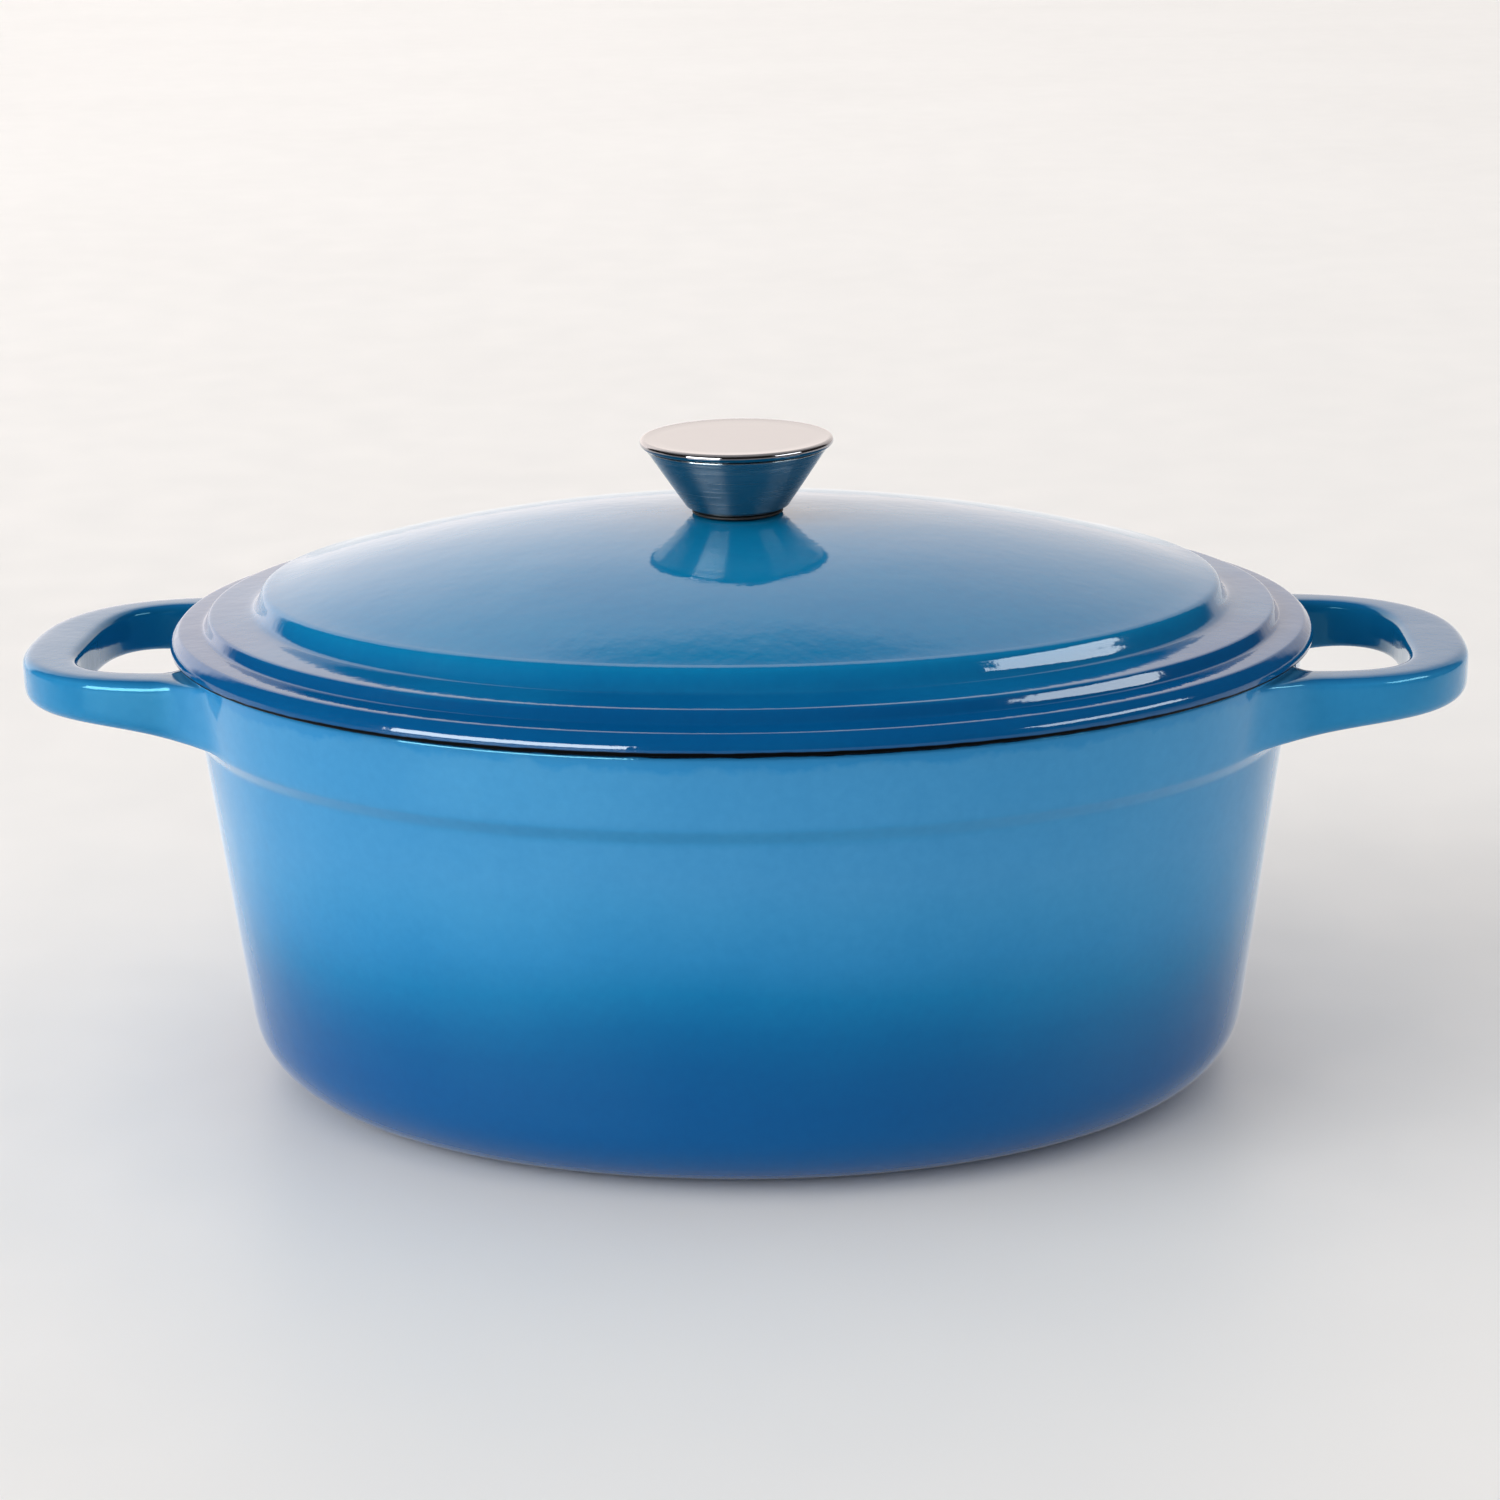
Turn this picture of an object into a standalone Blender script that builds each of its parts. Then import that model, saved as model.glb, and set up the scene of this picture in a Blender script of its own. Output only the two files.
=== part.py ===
"""Covered oval casserole dish: enamelled cast-iron dish and lid with a stainless steel knob.

Metres, +Z up. The dish stands on z = 0 with its centre on the Z axis and its length along X.
The lid, and everything screwed to it, lifts along +Z.
"""
import math

import bmesh
import bpy

MM = 0.001
GAP = 0.3 * MM                      # air left between pieces that touch

# The oval that the whole casting follows: the lid's outer edge, seen from above.
LID_HALF_LENGTH = 148.0 * MM
LID_HALF_WIDTH = 117.7 * MM
OVAL_POWER = 2.03                   # 2 is a true ellipse, more is squarer

# Dish. An inset is the distance inwards from the lid's outer edge.
RIM_HEIGHT = 117.7 * MM
WALL_THICKNESS = 4.2 * MM
WALL_INSET_LOW = 17.6 * MM          # outside of the wall, carried down to z = 0
WALL_INSET_HIGH = 7.0 * MM          # outside of the wall, just below the collar
WALL_TOP = 91.0 * MM
BASE_FILLET = 21.1 * MM
BASE_FILLET_STEPS = 6
COLLAR_INSET_LOW = 4.2 * MM
COLLAR_INSET_HIGH = 2.4 * MM
COLLAR_BOTTOM = 98.2 * MM
RIM_WIDTH = 6.8 * MM
RIM_CORNER = 0.8 * MM

# Handles: loops in plan between two superellipses that share a centre on the X axis.
HANDLE_CENTRE = 140.0 * MM
HANDLE_OUT_LENGTH = 47.5 * MM       # from that centre to the handle's tip
HANDLE_OUT_WIDTH = 45.6 * MM        # half the handle's width
HANDLE_IN_LENGTH = 31.8 * MM
HANDLE_IN_WIDTH = 34.8 * MM
HANDLE_OUT_POWER = 2.5
HANDLE_IN_POWER = 3.6
HANDLE_TOP = 116.3 * MM
HANDLE_THICKNESS = 11.9 * MM
HANDLE_EDGE = 2.0 * MM              # rounding of the handle's long edges
ROOT_Y = (31.4 * MM, 35.2 * MM, 46.0 * MM, 50.4 * MM)      # across an arm, where it leaves the collar
ROOT_Z = (COLLAR_BOTTOM, 100.8 * MM, 107.0 * MM, 114.0 * MM, HANDLE_TOP)
OUT_ANGLES = (88, 78, 66, 54, 43, 32, 21, 10, 0)           # degrees round the handle's end
IN_ANGLES = (81, 72, 62, 52, 43, 32, 21, 10, 0)
END_STATIONS = (0.0, 10.0 * MM, 20.0 * MM)                 # columns across the end, inside the handle
SIDE_COLUMNS = 12                                          # columns from the handle to the long side's middle

# Lid
LID_COLUMNS = 72
LID_BOTTOM = RIM_HEIGHT + GAP
LID_THICKNESS = 4.0 * MM
LIP_BOTTOM = 112.6 * MM
LIP_INSET_OUT = 10.6 * MM
LIP_INSET_IN = 13.6 * MM
STEP_INSET = 10.7 * MM
STEP_HEIGHT = 126.2 * MM
PANEL_INSET = 24.6 * MM
PANEL_HEIGHT = 132.0 * MM
DOME_HEIGHT = 149.2 * MM
DOME_POWER = 2.22
DOME_RINGS = (0.94, 0.80, 0.64, 0.48, 0.34, 0.21, 0.10, 0.0)
SCREW_HOLE_RADIUS = 3.4 * MM
SCREW_SEAT_RADIUS = 9.0 * MM        # flat land under the lid for the washer

# Knob
KNOB_COLUMNS = 40
GASKET_BOTTOM = DOME_HEIGHT + GAP
GASKET_THICKNESS = 0.6 * MM
GASKET_RADIUS = 11.8 * MM
CONE_BOTTOM = GASKET_BOTTOM + GASKET_THICKNESS + GAP
CONE_BOTTOM_RADIUS = 12.7 * MM
CONE_TOP = 166.6 * MM
CONE_TOP_RADIUS = 23.7 * MM
CONE_THICKNESS = 1.2 * MM
CONE_FLOOR = 2.4 * MM
CAP_RADIUS = 25.0 * MM
CAP_TOP = 169.0 * MM
CAP_ROLL = 1.05 * MM                # radius of the rolled edge
CAP_PLUG_DEPTH = 1.6 * MM
INSERT_RADIUS = 5.0 * MM
INSERT_HEIGHT = 10.0 * MM
INSERT_BORE = 3.3 * MM
INSERT_BORE_DEPTH = 8.5 * MM

# Screw and washer under the lid
WASHER_RADIUS = 8.0 * MM
WASHER_THICKNESS = 1.2 * MM
SCREW_RADIUS = 3.0 * MM
SCREW_HEAD_RADIUS = 6.0 * MM
SCREW_HEAD_HEIGHT = 3.8 * MM
SCREW_TIP = CONE_BOTTOM + CONE_FLOOR + GAP + 7.0 * MM
RECESS_LENGTH = 6.4 * MM
RECESS_WIDTH = 1.4 * MM
RECESS_DEPTH = 2.0 * MM


def remove_old_objects():
    for old in list(bpy.data.objects):
        bpy.data.objects.remove(old, do_unlink=True)


def make_material(name, colour, roughness, metallic):
    material = bpy.data.materials.new(name)
    material.use_nodes = True
    shader = material.node_tree.nodes["Principled BSDF"]
    shader.inputs["Base Color"].default_value = (*colour, 1.0)
    shader.inputs["Roughness"].default_value = roughness
    shader.inputs["Metallic"].default_value = metallic
    return material


def add_object(name, bm, material, sharp_angle=35.0):
    """Turn a bmesh into a named object, faces pointing out and smooth where the surface is round."""
    bmesh.ops.recalc_face_normals(bm, faces=bm.faces)
    mesh = bpy.data.meshes.new(name)
    bm.to_mesh(mesh)
    bm.free()
    mesh.materials.append(material)
    mesh.shade_smooth()
    mesh.set_sharp_from_angle(angle=math.radians(sharp_angle))
    obj = bpy.data.objects.new(name, mesh)
    bpy.context.scene.collection.objects.link(obj)
    return obj


def signed_power(value, power):
    return math.copysign(abs(value) ** power, value)


def oval_point(half_length, half_width, angle):
    x = half_length * signed_power(math.cos(angle), 2.0 / OVAL_POWER)
    y = half_width * signed_power(math.sin(angle), 2.0 / OVAL_POWER)
    return x, y


def inset_ring(bm, inset, z, angles):
    """One closed row of vertices on the dish's oval, moved in from the lid's edge by the inset."""
    ring = []
    for angle in angles:
        x, y = oval_point(LID_HALF_LENGTH - inset, LID_HALF_WIDTH - inset, angle)
        ring.append(bm.verts.new((x, y, z)))
    return ring


def full_turn(columns):
    return [2.0 * math.pi * i / columns for i in range(columns)]


def join_rings(bm, lower, upper, skip=()):
    """Quads between two closed rows; skip holds the columns that stay open."""
    count = len(lower)
    for i in range(count):
        if i in skip:
            continue
        j = (i + 1) % count
        bm.faces.new((lower[i], lower[j], upper[j], upper[i]))


def turned_solid(profile, columns, closed):
    """A solid of revolution about Z from (radius, z) points, capped flat or closed round a hole."""
    bm = bmesh.new()
    rings = []
    for radius, z in profile:
        ring = [bm.verts.new((radius * math.cos(a), radius * math.sin(a), z)) for a in full_turn(columns)]
        rings.append(ring)
    for lower, upper in zip(rings, rings[1:]):
        join_rings(bm, lower, upper)
    if closed:
        join_rings(bm, rings[-1], rings[0])
    else:
        bm.faces.new(rings[0])
        bm.faces.new(rings[-1])
    return bm


# Dish --------------------------------------------------------------------------------------------

def dish_angles():
    """Column angles round the dish, symmetric in all four quarters, with columns at each arm's edges."""
    half_width = LID_HALF_WIDTH - COLLAR_INSET_LOW
    stations = END_STATIONS + ROOT_Y
    quarter = [math.asin((y / half_width) ** (OVAL_POWER / 2.0)) for y in stations]
    last = quarter[-1]
    for step in range(1, SIDE_COLUMNS + 1):
        quarter.append(last + (math.pi / 2.0 - last) * step / SIDE_COLUMNS)
    angles = list(quarter)
    angles += [math.pi - a for a in reversed(quarter[:-1])]
    angles += [math.pi + a for a in quarter[1:]]
    angles += [2.0 * math.pi - a for a in reversed(quarter[1:-1])]
    return angles


def wall_inset(z):
    return WALL_INSET_LOW + (WALL_INSET_HIGH - WALL_INSET_LOW) * z / WALL_TOP


def fillet_rows(radius):
    """Rows of the base's corner, from its flat face up to the wall; inner and outer share a centre."""
    draft = math.atan((WALL_INSET_LOW - WALL_INSET_HIGH) / WALL_TOP)
    centre_inset = wall_inset(BASE_FILLET) + BASE_FILLET / math.cos(draft)
    rows = []
    for step in range(BASE_FILLET_STEPS + 1):
        angle = -math.pi / 2.0 + (math.pi / 2.0 - draft) * step / BASE_FILLET_STEPS
        rows.append((centre_inset - radius * math.cos(angle), BASE_FILLET + radius * math.sin(angle)))
    return rows


def dish_rows():
    """(inset, z) rows from the base's edge over the rim to the floor, and the first collar row."""
    outside = fillet_rows(BASE_FILLET)
    for z in (0.45 * WALL_TOP, 0.72 * WALL_TOP, 0.95 * WALL_TOP):
        outside.append((wall_inset(z), z))
    outside.append((0.5 * (WALL_INSET_HIGH + COLLAR_INSET_LOW), COLLAR_BOTTOM - 2.4 * MM))
    first_collar_row = len(outside)
    for z in ROOT_Z:
        share = (z - COLLAR_BOTTOM) / (RIM_HEIGHT - COLLAR_BOTTOM)
        outside.append((COLLAR_INSET_LOW + (COLLAR_INSET_HIGH - COLLAR_INSET_LOW) * share, z))
    rim_inner = COLLAR_INSET_HIGH + RIM_WIDTH
    outside.append((COLLAR_INSET_HIGH, RIM_HEIGHT - RIM_CORNER))
    rim = [(COLLAR_INSET_HIGH + RIM_CORNER, RIM_HEIGHT),
           (rim_inner - RIM_CORNER, RIM_HEIGHT),
           (rim_inner, RIM_HEIGHT - RIM_CORNER)]
    inside = [(wall_inset(z) + WALL_THICKNESS, z) for z in (0.95 * WALL_TOP, 0.55 * WALL_TOP)]
    inside += reversed(fillet_rows(BASE_FILLET - WALL_THICKNESS))
    return outside + rim + inside, first_collar_row


def handle_plan_point(length, width, power, degrees):
    """A point of the handle's outline in plan, on a ray from the handle's centre."""
    angle = math.radians(degrees)
    along = abs(math.cos(angle)) / length
    across = abs(math.sin(angle)) / width
    reach = (along ** power + across ** power) ** (-1.0 / power)
    return HANDLE_CENTRE + reach * math.cos(angle), reach * math.sin(angle)


def handle_bottom(degrees):
    """Height of the underside: level at the end, and down to the collar's lower edge at the root."""
    root = HANDLE_TOP - HANDLE_THICKNESS - COLLAR_BOTTOM
    return HANDLE_TOP - HANDLE_THICKNESS - root * (abs(degrees) / 95.0) ** 5


def handle_section(bm, side, out_degrees, in_degrees):
    """A closed row of 14 vertices round one section of the handle, from its inner lower edge."""
    out_x, out_y = handle_plan_point(HANDLE_OUT_LENGTH, HANDLE_OUT_WIDTH, HANDLE_OUT_POWER, out_degrees)
    in_x, in_y = handle_plan_point(HANDLE_IN_LENGTH, HANDLE_IN_WIDTH, HANDLE_IN_POWER, in_degrees)
    width = math.hypot(out_x - in_x, out_y - in_y)
    edge = HANDLE_EDGE / width
    bottom = handle_bottom(out_degrees)
    middle = 0.5 * (bottom + HANDLE_TOP)
    heights = (bottom, bottom + HANDLE_EDGE, middle, HANDLE_TOP - HANDLE_EDGE, HANDLE_TOP)
    across = (0.0, edge, 1.0 - edge, 1.0)
    path = [(s, heights[0]) for s in across]
    path += [(1.0, z) for z in heights[1:]]
    path += [(s, heights[-1]) for s in reversed(across[:-1])]
    path += [(0.0, z) for z in reversed(heights[1:-1])]
    ring = []
    for s, z in path:
        x = in_x + (out_x - in_x) * s
        y = in_y + (out_y - in_y) * s
        ring.append(bm.verts.new((side * x, y, z)))
    return ring


def root_ring(rings, first_row, columns):
    """The collar vertices round an arm's root, in the order of handle_section."""
    rows = rings[first_row:first_row + len(ROOT_Z)]
    ring = [rows[0][c] for c in columns]
    ring += [row[columns[-1]] for row in rows[1:]]
    ring += [rows[-1][c] for c in reversed(columns[:-1])]
    ring += [row[columns[0]] for row in reversed(rows[1:-1])]
    return ring


def make_dish(material):
    bm = bmesh.new()
    angles = dish_angles()
    count = len(angles)
    half = count // 2
    rows, first_row = dish_rows()
    rings = [inset_ring(bm, inset, z, angles) for inset, z in rows]

    near = [len(END_STATIONS) + i for i in range(len(ROOT_Y))]
    roots = {(1, 1): near,
             (1, -1): [(count - i) % count for i in near],
             (-1, 1): [half - i for i in near],
             (-1, -1): [half + i for i in near]}
    open_columns = set()
    for columns in roots.values():
        open_columns.update(sorted(columns)[:-1])

    last_open_row = first_row + len(ROOT_Z) - 1
    for index, (lower, upper) in enumerate(zip(rings, rings[1:])):
        skip = open_columns if first_row <= index < last_open_row else ()
        join_rings(bm, lower, upper, skip)
    bm.faces.new(rings[0])
    bm.faces.new(rings[-1])

    for side in (1, -1):
        chain = [root_ring(rings, first_row, roots[(side, 1)])]
        turns = list(zip(OUT_ANGLES, IN_ANGLES))
        turns += [(-out, -inside) for out, inside in reversed(turns[:-1])]
        chain += [handle_section(bm, side, out, inside) for out, inside in turns]
        chain.append(root_ring(rings, first_row, roots[(side, -1)]))
        for first, second in zip(chain, chain[1:]):
            join_rings(bm, first, second)
    return add_object("dish_body", bm, material)


# Lid ---------------------------------------------------------------------------------------------

def dome_height(x, y):
    """Top of the domed panel above the point (x, y)."""
    reach_x = abs(x) / (LID_HALF_LENGTH - PANEL_INSET)
    reach_y = abs(y) / (LID_HALF_WIDTH - PANEL_INSET)
    reach = (reach_x ** OVAL_POWER + reach_y ** OVAL_POWER) ** (1.0 / OVAL_POWER)
    return DOME_HEIGHT - (DOME_HEIGHT - PANEL_HEIGHT) * min(reach, 1.0) ** DOME_POWER


def dome_ring(bm, share, angles, drop, hole_radius):
    """A row on the dome, from the panel's edge (share 1) to the round screw hole (share 0)."""
    half_length = hole_radius + (LID_HALF_LENGTH - PANEL_INSET - hole_radius) * share
    half_width = hole_radius + (LID_HALF_WIDTH - PANEL_INSET - hole_radius) * share
    ring = []
    for angle in angles:
        x, y = oval_point(half_length, half_width, angle)
        ring.append(bm.verts.new((x, y, dome_height(x, y) - drop)))
    return ring


def lid_edge_rows():
    """(inset, z) rows from inside the locating lip, round the lid's edge and up its two steps."""
    under_panel = PANEL_HEIGHT - LID_THICKNESS
    below = [(PANEL_INSET + 1.0 * MM, under_panel),
             (LIP_INSET_IN + 2.0 * MM, STEP_HEIGHT - LID_THICKNESS),
             (LIP_INSET_IN, LIP_BOTTOM + 3.0 * MM),
             (LIP_INSET_IN - 0.6 * MM, LIP_BOTTOM),
             (LIP_INSET_OUT + 0.8 * MM, LIP_BOTTOM),
             (LIP_INSET_OUT, LIP_BOTTOM + 1.0 * MM),
             (LIP_INSET_OUT - 0.4 * MM, LID_BOTTOM)]
    edge = [(1.7 * MM, LID_BOTTOM),
            (0.6 * MM, LID_BOTTOM + 1.0 * MM),
            (0.0, LID_BOTTOM + 3.5 * MM),
            (0.4 * MM, LID_BOTTOM + 5.0 * MM),
            (1.7 * MM, LID_BOTTOM + 5.8 * MM)]
    first_step = [(STEP_INSET - 3.2 * MM, STEP_HEIGHT - 2.8 * MM),
                  (STEP_INSET - 1.2 * MM, STEP_HEIGHT - 2.0 * MM),
                  (STEP_INSET, STEP_HEIGHT - 0.2 * MM),
                  (STEP_INSET + 1.4 * MM, STEP_HEIGHT + 0.3 * MM)]
    second_step = [(PANEL_INSET - 4.0 * MM, PANEL_HEIGHT - 4.5 * MM),
                   (PANEL_INSET - 2.0 * MM, PANEL_HEIGHT - 3.4 * MM),
                   (PANEL_INSET - 0.6 * MM, PANEL_HEIGHT - 0.8 * MM)]
    return below + edge + first_step + second_step


def make_lid(material):
    bm = bmesh.new()
    angles = full_turn(LID_COLUMNS)
    rings = []
    hole_bottom = DOME_HEIGHT - LID_THICKNESS
    for radius in (SCREW_HOLE_RADIUS, SCREW_SEAT_RADIUS):
        ring = [bm.verts.new((radius * math.cos(a), radius * math.sin(a), hole_bottom)) for a in angles]
        rings.append(ring)
    for share in (0.21, 0.40, 0.62, 0.82):
        rings.append(dome_ring(bm, share, angles, LID_THICKNESS, SCREW_HOLE_RADIUS))
    rings += [inset_ring(bm, inset, z, angles) for inset, z in lid_edge_rows()]
    for share in (1.0, *DOME_RINGS):
        rings.append(dome_ring(bm, share, angles, 0.0, SCREW_HOLE_RADIUS))
    for lower, upper in zip(rings, rings[1:]):
        join_rings(bm, lower, upper)
    join_rings(bm, rings[-1], rings[0])
    return add_object("lid", bm, material)


# Knob --------------------------------------------------------------------------------------------

def make_gasket(material):
    top = GASKET_BOTTOM + GASKET_THICKNESS
    profile = [(SCREW_HOLE_RADIUS, GASKET_BOTTOM), (GASKET_RADIUS, GASKET_BOTTOM),
               (GASKET_RADIUS, top), (SCREW_HOLE_RADIUS, top)]
    return add_object("knob_gasket", turned_solid(profile, KNOB_COLUMNS, True), material)


def make_cone(material):
    """A tapered cup: straight sides, a rounded lower edge and a holed floor."""
    lean = (CONE_TOP_RADIUS - CONE_BOTTOM_RADIUS) / (CONE_TOP - CONE_BOTTOM)
    floor_top = CONE_BOTTOM + CONE_FLOOR
    inner_floor_radius = CONE_BOTTOM_RADIUS + lean * CONE_FLOOR - 1.6 * CONE_THICKNESS
    profile = [(SCREW_HOLE_RADIUS, CONE_BOTTOM),
               (CONE_BOTTOM_RADIUS - 0.5 * MM, CONE_BOTTOM),
               (CONE_BOTTOM_RADIUS, CONE_BOTTOM + 0.5 * MM),
               (CONE_TOP_RADIUS, CONE_TOP),
               (CONE_TOP_RADIUS - CONE_THICKNESS, CONE_TOP),
               (inner_floor_radius, floor_top),
               (SCREW_HOLE_RADIUS, floor_top)]
    return add_object("knob_cone", turned_solid(profile, KNOB_COLUMNS, True), material)


def make_cap(material):
    """A flat disc with a rolled edge and a shallow plug that drops into the cone's mouth."""
    plug_radius = CONE_TOP_RADIUS - CONE_THICKNESS - 1.6 * MM
    disc_bottom = CONE_TOP + GAP
    roll_centre = CAP_TOP - CAP_ROLL
    profile = [(plug_radius, CONE_TOP - CAP_PLUG_DEPTH), (plug_radius, disc_bottom)]
    for degrees in (-90, -45, 0, 45, 90):
        angle = math.radians(degrees)
        radius = CAP_RADIUS - CAP_ROLL + CAP_ROLL * math.cos(angle)
        profile.append((radius, roll_centre + CAP_ROLL * math.sin(angle)))
    return add_object("knob_cap", turned_solid(profile, KNOB_COLUMNS, False), material)


def make_insert(material):
    """The threaded boss on the cone's floor, open below for the screw."""
    bottom = CONE_BOTTOM + CONE_FLOOR + GAP
    profile = [(0.4 * MM, bottom + INSERT_BORE_DEPTH), (INSERT_BORE, bottom + INSERT_BORE_DEPTH - 1.0 * MM),
               (INSERT_BORE, bottom), (INSERT_RADIUS, bottom),
               (INSERT_RADIUS, bottom + INSERT_HEIGHT), (0.4 * MM, bottom + INSERT_HEIGHT)]
    return add_object("knob_insert", turned_solid(profile, 24, False), material)


def make_washer(material):
    top = DOME_HEIGHT - LID_THICKNESS - GAP
    bottom = top - WASHER_THICKNESS
    profile = [(SCREW_HOLE_RADIUS, bottom), (WASHER_RADIUS, bottom),
               (WASHER_RADIUS, top), (SCREW_HOLE_RADIUS, top)]
    return add_object("screw_washer", turned_solid(profile, 32, True), material)


def make_screw(material):
    """A pan-head machine screw, head down, with a cross recess."""
    head_top = DOME_HEIGHT - LID_THICKNESS - GAP - WASHER_THICKNESS - GAP
    head_bottom = head_top - SCREW_HEAD_HEIGHT
    profile = [(SCREW_HEAD_RADIUS - 1.6 * MM, head_bottom),
               (SCREW_HEAD_RADIUS - 0.4 * MM, head_bottom + 0.8 * MM),
               (SCREW_HEAD_RADIUS, head_bottom + 2.0 * MM),
               (SCREW_HEAD_RADIUS, head_top),
               (SCREW_RADIUS, head_top),
               (SCREW_RADIUS, SCREW_TIP - 0.8 * MM),
               (SCREW_RADIUS - 0.8 * MM, SCREW_TIP)]
    screw = add_object("knob_screw", turned_solid(profile, 24, False), material)
    cutter_mesh = bmesh.new()
    for length, width in ((RECESS_LENGTH, RECESS_WIDTH), (RECESS_WIDTH, RECESS_LENGTH)):
        made = bmesh.ops.create_cube(cutter_mesh, size=1.0)
        for vert in made["verts"]:
            vert.co.x *= length
            vert.co.y *= width
            vert.co.z = head_bottom + vert.co.z * 2.0 * RECESS_DEPTH
    cutter = add_object("recess_cutter", cutter_mesh, material)
    cutter.hide_render = True
    cutter.display_type = "WIRE"
    cut = screw.modifiers.new("cross_recess", "BOOLEAN")
    cut.operation = "DIFFERENCE"
    cut.solver = "EXACT"
    cut.use_self = True
    cut.object = cutter
    return screw


def main():
    remove_old_objects()
    dish_enamel = make_material("dish_enamel", (0.08, 0.34, 0.62), 0.12, 0.0)
    lid_enamel = make_material("lid_enamel", (0.02, 0.20, 0.45), 0.10, 0.0)
    brushed = make_material("brushed_stainless", (0.60, 0.60, 0.60), 0.28, 1.0)
    polished = make_material("polished_stainless", (0.80, 0.80, 0.79), 0.06, 1.0)
    plated = make_material("plated_steel", (0.62, 0.61, 0.58), 0.35, 1.0)
    silicone = make_material("silicone", (0.03, 0.03, 0.03), 0.7, 0.0)

    make_dish(dish_enamel)
    lid = make_lid(lid_enamel)
    fittings = [make_gasket(silicone), make_cone(brushed), make_cap(polished),
                make_insert(plated), make_washer(plated), make_screw(plated)]
    for fitting in fittings:
        fitting.parent = lid


main()
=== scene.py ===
"""Looks for the covered oval casserole dish: enamelled cast iron with a stainless steel knob.

Metres, +Z up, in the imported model's frame. Sizes below are in millimetres and are scaled as they're used.
"""
import math

import bmesh
import bpy
from mathutils import Matrix, Vector


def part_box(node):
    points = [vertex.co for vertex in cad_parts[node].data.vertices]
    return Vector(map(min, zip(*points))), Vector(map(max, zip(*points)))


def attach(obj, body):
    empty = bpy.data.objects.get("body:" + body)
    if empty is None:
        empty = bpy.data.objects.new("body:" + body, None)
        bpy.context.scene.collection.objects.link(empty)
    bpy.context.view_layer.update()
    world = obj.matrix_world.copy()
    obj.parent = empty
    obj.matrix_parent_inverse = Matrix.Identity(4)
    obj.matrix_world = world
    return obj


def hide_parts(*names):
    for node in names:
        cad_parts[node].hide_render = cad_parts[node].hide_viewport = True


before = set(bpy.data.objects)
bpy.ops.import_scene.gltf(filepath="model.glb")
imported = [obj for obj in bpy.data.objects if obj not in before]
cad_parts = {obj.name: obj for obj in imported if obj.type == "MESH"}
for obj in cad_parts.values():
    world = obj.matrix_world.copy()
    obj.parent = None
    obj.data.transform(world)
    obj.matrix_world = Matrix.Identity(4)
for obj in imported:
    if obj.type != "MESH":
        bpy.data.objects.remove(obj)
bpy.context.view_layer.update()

MM = 0.001

# The oval that the casting follows, and its heights.
DISH_LOW, DISH_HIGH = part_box("dish_body")
LID_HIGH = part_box("lid")[1]
CAP_LOW, CAP_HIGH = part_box("knob_cap")
CONE_LOW, CONE_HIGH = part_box("knob_cone")
GASKET_LOW, GASKET_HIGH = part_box("knob_gasket")
HALF_LENGTH = LID_HIGH.x / MM
HALF_WIDTH = LID_HIGH.y / MM
OVAL_POWER = 2.03
RIM = DISH_HIGH.z / MM
HANDLE_REACH = DISH_HIGH.x / MM
DOME_TOP = LID_HIGH.z / MM

GAP = 0.3                # air left between pieces that touch

WALL_LOW = 17.6          # inset of the wall, carried down to the base
WALL_HIGH = 7.0          # inset of the wall at WALL_TOP
WALL_TOP = 91.0
WALL = 4.2               # thickness of the wall and of the dish's floor
BASE_FILLET = 21.1
INSIDE_FILLET = 16.9
COLLAR_BOTTOM = 98.2
COLLAR_LOW = 4.2         # inset of the collar at its bottom
COLLAR_HIGH = 2.4        # inset of the collar at the rim
COLLAR_MIDDLE = 3.3      # halfway between the two

HANDLE_CENTRE = 140.0
OUT_WIDTH = 45.6
OUT_POWER = 2.5
IN_LENGTH = 31.8
IN_WIDTH = 34.8
IN_POWER = 3.6
HANDLE_TOP = 116.3
HANDLE_THICKNESS = 11.9
HANDLE_ROUNDS = (2.4, 3.4, 2.6, 2.2)     # radii: inner low, outer low, outer high, inner high
HANDLE_CROWN = 0.12      # rise of the handle's top towards its middle

PANEL_INSET = 24.6
PANEL_HEIGHT = 132.0
DOME_POWER = 2.22
LID_THICKNESS = 4.0
LIP_BOTTOM = 112.6
EDGE_ROUND = 3.8         # radius of the lid's outer edge
EDGE_CENTRE = 119.3      # height of that radius's centre
SCREW_HOLE = 3.4


# Mesh helpers ------------------------------------------------------------------------------------

def rounded(corners, segments=3):
    """A polyline through (a, b, radius) corners, each turned into an arc of that radius."""
    points = []
    last = len(corners) - 1
    for i, (a, b, radius) in enumerate(corners):
        here = Vector((a, b))
        if i in (0, last) or radius <= 0.0:
            points.append((a, b))
            continue
        back = (Vector(corners[i - 1][:2]) - here).normalized()
        ahead = (Vector(corners[i + 1][:2]) - here).normalized()
        half = back.angle(ahead) / 2.0
        centre = here + (back + ahead).normalized() * radius / math.sin(half)
        start = here + back * radius / math.tan(half) - centre
        end = here + ahead * radius / math.tan(half) - centre
        turn = start.angle(end)
        steps = segments if turn < 1.2 else 2 * segments
        for k in range(steps + 1):
            t = k / steps
            p = centre + (start * math.sin((1.0 - t) * turn) + end * math.sin(t * turn)) / math.sin(turn)
            points.append((p.x, p.y))
    return points


def signed_power(value, power):
    return math.copysign(abs(value) ** power, value)


def oval(half_length, half_width, angle):
    x = half_length * signed_power(math.cos(angle), 2.0 / OVAL_POWER)
    y = half_width * signed_power(math.sin(angle), 2.0 / OVAL_POWER)
    return x, y


def add_ring(bm, points):
    return [bm.verts.new((x * MM, y * MM, z * MM)) for x, y, z in points]


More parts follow.
